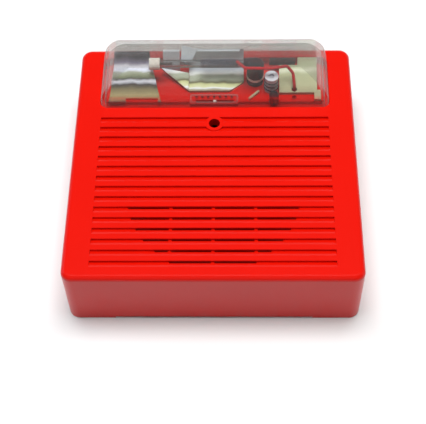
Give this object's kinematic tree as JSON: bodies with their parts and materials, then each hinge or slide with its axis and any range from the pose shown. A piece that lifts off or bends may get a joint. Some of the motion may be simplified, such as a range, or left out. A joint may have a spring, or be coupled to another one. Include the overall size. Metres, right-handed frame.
{
  "type": "horn strobe",
  "caption": "Wall-mounted fire alarm horn and strobe: square red cover with horizontal sound slots, clear lens over a flash lamp, and internal boards.",
  "frame": {"origin": "centre of the back plane, which lies on the wall", "axes": "+Z out of the wall, +Y up the wall towards the lens, +X to the right of someone facing the device"},
  "size_m": [0.133, 0.131, 0.051],
  "materials": {
    "cover_red": "satin moulded",
    "housing_red": "moulded",
    "chassis_grey": "fine texture",
    "plate_steel": "zinc plated",
    "lens_clear": "clear moulded",
    "mirror_metal": "vacuum metallised",
    "tube_glass": "drawn glass",
    "electrode_metal": "drawn",
    "trigger_metal": "drawn wire",
    "rubber_black": "moulded",
    "nylon_white": "moulded",
    "ferrule_metal": "plated",
    "stud_black": "moulded",
    "coil_tape": "taped",
    "wire_red": "extruded",
    "bezel_clear": "moulded",
    "slider_black": "moulded",
    "pointer_white": "moulded",
    "can_sleeve": "shrink sleeve",
    "potting_black": "potted",
    "ferrite": "sintered",
    "diode_black": "moulded",
    "board_green": "solder resist",
    "screw_steel": "zinc plated",
    "screw_black": "black oxide",
    "wire_link": "extruded",
    "wire_sounder": "extruded",
    "chip_black": "moulded",
    "terminal_plastic": "moulded",
    "sounder_black": "moulded",
    "foam_grey": "closed-cell foam",
    "piezo_brass": "rolled",
    "piezo_ceramic": "fired",
    "switch_case": "moulded",
    "switch_knob": "moulded",
    "clamp_metal": "plated"
  },
  "bodies": {
    "base": {"back_reflector": "mirror_metal", "board_capacitors": "can_sleeve", "board_screws": "screw_steel", "boot_band": "nylon_white", "chassis": "chassis_grey", "chassis_screws": "screw_steel", "chips": "chip_black", "flash_capacitor": "can_sleeve", "flash_tube": "tube_glass", "horn_screws": "screw_steel", "lamp_board": "board_green", "lamp_diodes": "diode_black", "lamp_ferrule": "ferrule_metal", "lamp_housing": "housing_red", "lamp_inductor": "ferrite", "left_mirror": "mirror_metal", "left_sleeve": "nylon_white", "lens": "lens_clear", "link_leads": "wire_link", "main_board": "board_green", "mirror_stud": "stud_black", "mounting_plate": "plate_steel", "piezo_ceramic": "piezo_ceramic", "piezo_plate": "piezo_brass", "right_mirror": "mirror_metal", "selector_bezel": "bezel_clear", "sounder_coil": "ferrite", "sounder_cup": "sounder_black", "sounder_gasket": "foam_grey", "sounder_horn": "sounder_black", "sounder_leads": "wire_sounder", "terminal_block": "terminal_plastic", "tone_switch_case": "switch_case", "trigger_coil": "coil_tape", "trigger_transformer": "potting_black", "trigger_winding": "trigger_metal", "trigger_wire": "wire_red", "trough_fin": "mirror_metal", "trough_mirror": "mirror_metal", "trough_wing": "mirror_metal", "tube_boot": "rubber_black", "tube_electrodes": "electrode_metal", "volume_switch_case": "switch_case", "wing_strut": "nylon_white"},
    "cover": {"cover": "cover_red"},
    "cover_screw": {"cover_screw": "screw_black", "cover_screw_retainer": "nylon_white"},
    "selector": {"selector_slider": "slider_black", "selector_pointer": "pointer_white"},
    "tone_knob": {"tone_switch_knob": "switch_knob"},
    "volume_knob": {"volume_switch_knob": "switch_knob"},
    "terminal_1_screw": {"terminal_screw_1": "screw_steel"},
    "terminal_1_clamp": {"terminal_clamp_1": "clamp_metal"},
    "terminal_2_screw": {"terminal_screw_2": "screw_steel"},
    "terminal_2_clamp": {"terminal_clamp_2": "clamp_metal"},
    "terminal_3_screw": {"terminal_screw_3": "screw_steel"},
    "terminal_3_clamp": {"terminal_clamp_3": "clamp_metal"},
    "terminal_4_screw": {"terminal_screw_4": "screw_steel"},
    "terminal_4_clamp": {"terminal_clamp_4": "clamp_metal"}
  },
  "joints": [
    {"name": "cover_lift", "type": "slide", "parent": "base", "child": "cover", "axis": [0, 0, 1], "range_m": [0, 0.06]},
    {"name": "cover_screw_turn", "type": "hinge", "parent": "cover", "child": "cover_screw", "pos_m": [0, 0.01885, 0.0285], "axis": [0, 0, 1], "range_deg": [0, 1440]},
    {"name": "candela_select", "type": "slide", "parent": "base", "child": "selector", "axis": [1, 0, 0], "range_m": [-0.008, 0.008]},
    {"name": "tone_select", "type": "slide", "parent": "base", "child": "tone_knob", "axis": [1, 0, 0], "range_m": [0, 0.002]},
    {"name": "volume_select", "type": "slide", "parent": "base", "child": "volume_knob", "axis": [1, 0, 0], "range_m": [0, 0.002]},
    {"name": "terminal_1_turn", "type": "hinge", "parent": "base", "child": "terminal_1_screw", "pos_m": [-0.057, -0.054, 0.0214], "axis": [0, 0, -1], "range_deg": [0, 1080]},
    {"name": "terminal_1_rise", "type": "slide", "parent": "base", "child": "terminal_1_clamp", "axis": [0, 0, 1], "range_m": [0, 0.0015]},
    {"name": "terminal_2_turn", "type": "hinge", "parent": "base", "child": "terminal_2_screw", "pos_m": [-0.05065, -0.054, 0.0214], "axis": [0, 0, -1], "range_deg": [0, 1080]},
    {"name": "terminal_2_rise", "type": "slide", "parent": "base", "child": "terminal_2_clamp", "axis": [0, 0, 1], "range_m": [0, 0.0015]},
    {"name": "terminal_3_turn", "type": "hinge", "parent": "base", "child": "terminal_3_screw", "pos_m": [-0.0443, -0.054, 0.0214], "axis": [0, 0, -1], "range_deg": [0, 1080]},
    {"name": "terminal_3_rise", "type": "slide", "parent": "base", "child": "terminal_3_clamp", "axis": [0, 0, 1], "range_m": [0, 0.0015]},
    {"name": "terminal_4_turn", "type": "hinge", "parent": "base", "child": "terminal_4_screw", "pos_m": [-0.03795, -0.054, 0.0214], "axis": [0, 0, -1], "range_deg": [0, 1080]},
    {"name": "terminal_4_rise", "type": "slide", "parent": "base", "child": "terminal_4_clamp", "axis": [0, 0, 1], "range_m": [0, 0.0015]}
  ],
  "couplings": [
    {"joint": "terminal_1_turn", "follows": "terminal_1_rise", "rad_per_m": 12566},
    {"joint": "terminal_2_turn", "follows": "terminal_2_rise", "rad_per_m": 12566},
    {"joint": "terminal_3_turn", "follows": "terminal_3_rise", "rad_per_m": 12566},
    {"joint": "terminal_4_turn", "follows": "terminal_4_rise", "rad_per_m": 12566}
  ]
}
